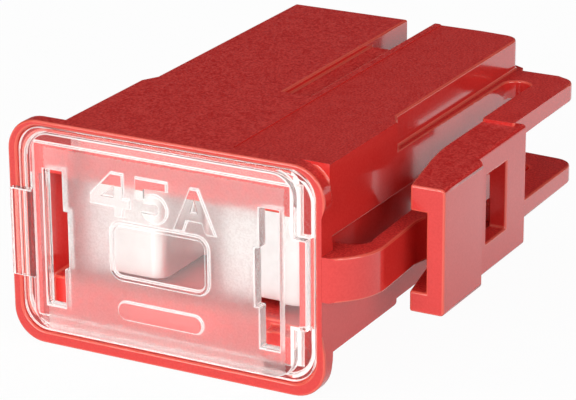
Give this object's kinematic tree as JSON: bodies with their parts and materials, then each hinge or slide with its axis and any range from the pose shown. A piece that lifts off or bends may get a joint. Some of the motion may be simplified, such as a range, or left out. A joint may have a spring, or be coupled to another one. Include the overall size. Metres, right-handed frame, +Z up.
{
  "type": "automotive cartridge fuse",
  "caption": "Female cartridge fuse for vehicles: keyed red housing with a moulded lock arm, clear cap with probe slots, and a plated fuse element with rolled terminals.",
  "frame": {"origin": "middle of the bounding box's base: the ground under the fuse as it lies on its wide side", "axes": "+Z up, through the fuse's thinner side; -Y towards the clear cap, +Y towards the terminal mouths; +X towards the lock arm"},
  "size_m": [0.019, 0.0214, 0.0104],
  "materials": {
    "red_plastic": "moulded red plastic, glossy sides and finely textured top",
    "clear_plastic": "clear moulded plastic, frosted in the middle",
    "tinned_metal": "bright tin plate on copper alloy strip"
  },
  "bodies": {
    "root": {"housing": "red_plastic", "cap": "clear_plastic", "fuse_element": "tinned_metal", "tin_pellet": "tinned_metal"}
  },
  "joints": []
}
